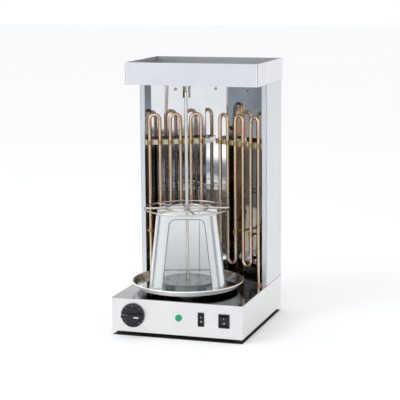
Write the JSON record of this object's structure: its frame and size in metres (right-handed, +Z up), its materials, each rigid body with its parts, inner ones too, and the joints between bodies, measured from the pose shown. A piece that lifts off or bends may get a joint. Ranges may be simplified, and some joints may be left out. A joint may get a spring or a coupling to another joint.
{
  "type": "electric skewer grill",
  "caption": "Upright electric skewer grill: steel base with controls, heater banks before a folded reflector, turning pan, stand and skewer ring on a spit, open tray on top",
  "frame": {"origin": "Middle of the overall footprint, on the surface the rubber feet stand on", "axes": "+X to the user's right, +Y from the control panel towards the back, +Z up"},
  "size_m": [0.307, 0.364, 0.5916],
  "materials": {
    "brushed_panel": "satin",
    "polished_steel": "polished",
    "dark_plate": "satin",
    "chrome_wire": "polished",
    "heater_tube": "heat-tinted",
    "brass": "satin",
    "plated_screw": "satin",
    "machined_steel": "satin",
    "black_plastic": "gloss",
    "rubber": "matte",
    "green_lens": "gloss",
    "lamp_white": "matte",
    "bulb_glass": "clear",
    "ceramic_white": "matte ceramic",
    "motor_paint": "satin",
    "zinc_bracket": "satin",
    "phenolic": "matte",
    "lead_insulation": "matte"
  },
  "bodies": {
    "housing": {"base_bottom_cover": "brushed_panel", "base_deck": "polished_steel", "base_rear_panel": "brushed_panel", "base_shell": "brushed_panel", "bottom_cover_screws": "plated_screw", "cable_gland": "black_plastic", "control_leads": "lead_insulation", "deck_bearing": "brass", "foot_screws": "plated_screw", "gearbox": "motor_paint", "gland_locknut": "black_plastic", "heater_bar_left": "polished_steel", "heater_bar_right": "polished_steel", "heater_fittings": "brass", "heater_insulators": "ceramic_white", "heater_leads": "lead_insulation", "heater_left": "heater_tube", "heater_nuts": "brass", "heater_right": "heater_tube", "heater_saddles": "brass", "heater_standoffs": "brass", "heater_studs": "brass", "lamp_body": "lamp_white", "lamp_bulb": "bulb_glass", "lamp_lens": "green_lens", "large_switch_housing": "black_plastic", "left_side_panel": "brushed_panel", "motor_bracket": "zinc_bracket", "motor_can": "motor_paint", "motor_leads": "lead_insulation", "motor_screws": "plated_screw", "rear_cover": "brushed_panel", "rear_screws": "plated_screw", "reflector_centre": "polished_steel", "reflector_left": "polished_steel", "reflector_right": "polished_steel", "reflector_screws": "plated_screw", "regulator_body": "phenolic", "regulator_screws": "plated_screw", "right_side_panel": "brushed_panel", "rubber_feet": "rubber", "small_switch_housing": "black_plastic", "spit_fork": "plated_screw", "terminal_block": "phenolic", "terminal_screws": "plated_screw", "top_tray": "brushed_panel", "tray_studs": "plated_screw"},
    "turntable": {"drive_shaft": "machined_steel", "turntable_hub": "machined_steel", "hub_cross_pin": "plated_screw", "drip_pan": "polished_steel", "centre_plate": "dark_plate", "stand_shell": "polished_steel", "stand_cross_wire": "chrome_wire"},
    "spit": {"spit_rod": "chrome_wire", "skewer_ring": "chrome_wire"},
    "knob": {"control_knob": "black_plastic", "regulator_shaft": "machined_steel"},
    "small_rocker_lever": {"small_rocker": "black_plastic"},
    "large_rocker_lever": {"large_rocker": "black_plastic"}
  },
  "joints": [
    {"name": "spit_turn", "type": "hinge", "parent": "housing", "child": "turntable", "pos_m": [-0.014, -0.039, 0.1], "axis": [0, 0, 1], "continuous": true},
    {"name": "spit_lift", "type": "slide", "parent": "turntable", "child": "spit", "axis": [0, 0, 1], "range_m": [0, 0.01]},
    {"name": "knob_turn", "type": "hinge", "parent": "housing", "child": "knob", "pos_m": [-0.1005, -0.17, 0.047], "axis": [0, 1, 0], "range_deg": [0, 270]},
    {"name": "small_rocker_press", "type": "hinge", "parent": "housing", "child": "small_rocker_lever", "pos_m": [0.0563, -0.157, 0.048], "axis": [-1, 0, 0], "range_deg": [0, 20]},
    {"name": "large_rocker_press", "type": "hinge", "parent": "housing", "child": "large_rocker_lever", "pos_m": [0.1082, -0.157, 0.048], "axis": [-1, 0, 0], "range_deg": [0, 20]}
  ]
}
